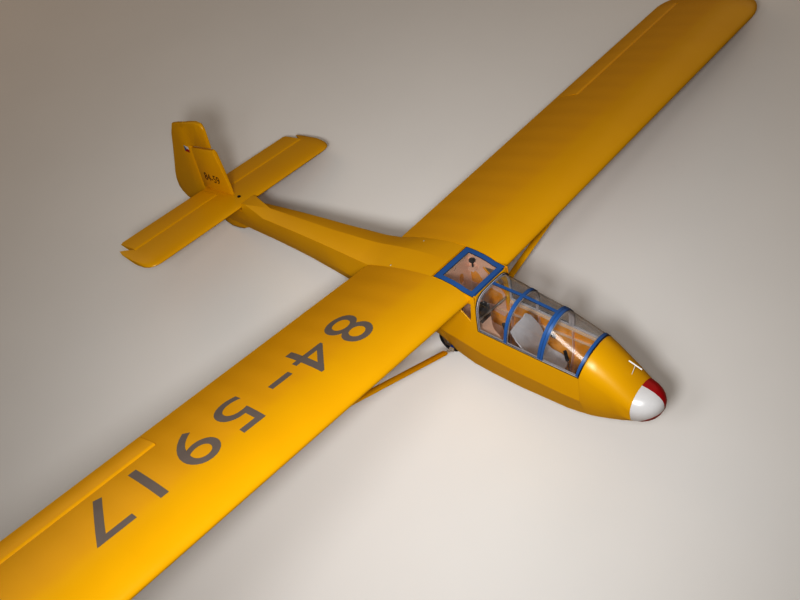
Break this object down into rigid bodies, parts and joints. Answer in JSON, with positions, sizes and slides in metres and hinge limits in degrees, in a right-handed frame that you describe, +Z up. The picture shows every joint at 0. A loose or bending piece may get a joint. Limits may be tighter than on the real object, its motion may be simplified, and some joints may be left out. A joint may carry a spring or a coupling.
{
  "type": "radio-controlled model glider",
  "caption": "High-wing two-seat training glider as a large flying model: strut-braced wing, glazed cabin with opening canopy, belly wheel, skids, ailerons, elevator and rudder.",
  "frame": {"origin": "bottom centre of the bounding box of the parked glider, with the ground at z = 0", "axes": "+X towards the left wing tip, +Y towards the tail, +Z up; the craft stands tail down with its left wing tip on the ground"},
  "size_m": [3.2612, 1.9424, 0.8573],
  "materials": {
    "yellow_film": "glossy iron-on covering film",
    "blue_paint": "satin paint",
    "white_paint": "gloss paint",
    "bare_wood": "bare plywood and spruce",
    "grey_plastic": "matt moulded shell",
    "clear_sheet": "clear formed sheet",
    "steel": "bright steel",
    "black_plastic": "satin",
    "tyre_rubber": "matt rubber"
  },
  "bodies": {
    "airframe": {"nose_cap": "white_paint", "nose_shell": "yellow_film", "pod_side_left": "yellow_film", "pod_side_right": "yellow_film", "pod_belly": "yellow_film", "side_window_left": "clear_sheet", "side_window_right": "clear_sheet", "rear_fuselage": "yellow_film", "front_former": "bare_wood", "stick_former": "bare_wood", "seat_former": "bare_wood", "cabin_former": "bare_wood", "cabin_floor": "bare_wood", "cabin_bulkhead": "bare_wood", "longeron_left": "bare_wood", "longeron_right": "bare_wood", "stringer_left": "bare_wood", "stringer_right": "bare_wood", "cabin_arch": "yellow_film", "roof_frame": "bare_wood", "skylight_frame": "blue_paint", "skylight_pane": "clear_sheet", "windscreen_pane": "clear_sheet", "windscreen_frame": "blue_paint", "windscreen_inner_frame": "white_paint", "front_seat": "grey_plastic", "rear_seat": "bare_wood", "front_stick": "steel", "front_grip": "black_plastic", "rear_stick": "steel", "rear_grip": "black_plastic", "cabin_tube": "steel", "servo_tray": "bare_wood", "cabin_servo": "black_plastic", "wing_left": "yellow_film", "wing_right": "yellow_film", "strut_left": "yellow_film", "strut_right": "yellow_film", "strut_fork_left": "steel", "strut_fork_right": "steel", "tailplane": "yellow_film", "fin": "yellow_film", "wheel_axle": "steel", "wheel_fork": "steel", "nose_skid": "bare_wood", "tail_skid": "yellow_film", "tail_skid_shoe": "steel", "pitot": "white_paint"},
    "wheel": {"wheel_tyre": "tyre_rubber", "wheel_hub": "blue_paint"},
    "canopy": {"canopy_pane": "clear_sheet", "canopy_frame": "blue_paint", "canopy_inner_frame": "white_paint"},
    "left_aileron": {"aileron_left": "yellow_film"},
    "right_aileron": {"aileron_right": "yellow_film"},
    "elevator": {"elevator_left": "yellow_film", "elevator_right": "yellow_film", "elevator_joiner": "steel"},
    "rudder": {"rudder": "yellow_film"}
  },
  "joints": [
    {"name": "main_wheel", "type": "hinge", "parent": "airframe", "child": "wheel", "pos_m": [-0.09728, -0.30378, 0.04231], "axis": [0.9667, -0.0946, -0.2379], "continuous": true},
    {"name": "canopy_hinge", "type": "hinge", "parent": "airframe", "child": "canopy", "pos_m": [0.00579, -0.56737, 0.22544], "axis": [0.0791, 0.9941, -0.0736], "range_deg": [0, 95]},
    {"name": "aileron_left_hinge", "type": "hinge", "parent": "airframe", "child": "left_aileron", "pos_m": [1.18832, -0.27481, 0.08443], "axis": [0.981, -0.1147, -0.1566], "range_deg": [-7, 20]},
    {"name": "aileron_right_hinge", "type": "hinge", "parent": "airframe", "child": "right_aileron", "pos_m": [-1.18969, -0.04215, 0.66967], "axis": [0.9454, -0.0738, -0.3175], "range_deg": [-7, 20]},
    {"name": "elevator_hinge", "type": "hinge", "parent": "airframe", "child": "elevator", "pos_m": [0.0232, 0.69833, 0.13349], "axis": [0.9667, -0.0946, -0.2379], "range_deg": [-18, 22]},
    {"name": "rudder_hinge", "type": "hinge", "parent": "airframe", "child": "rudder", "pos_m": [0.0408, 0.80191, 0.16381], "axis": [0.2477, 0.1107, 0.9625], "range_deg": [-30, 30]}
  ]
}
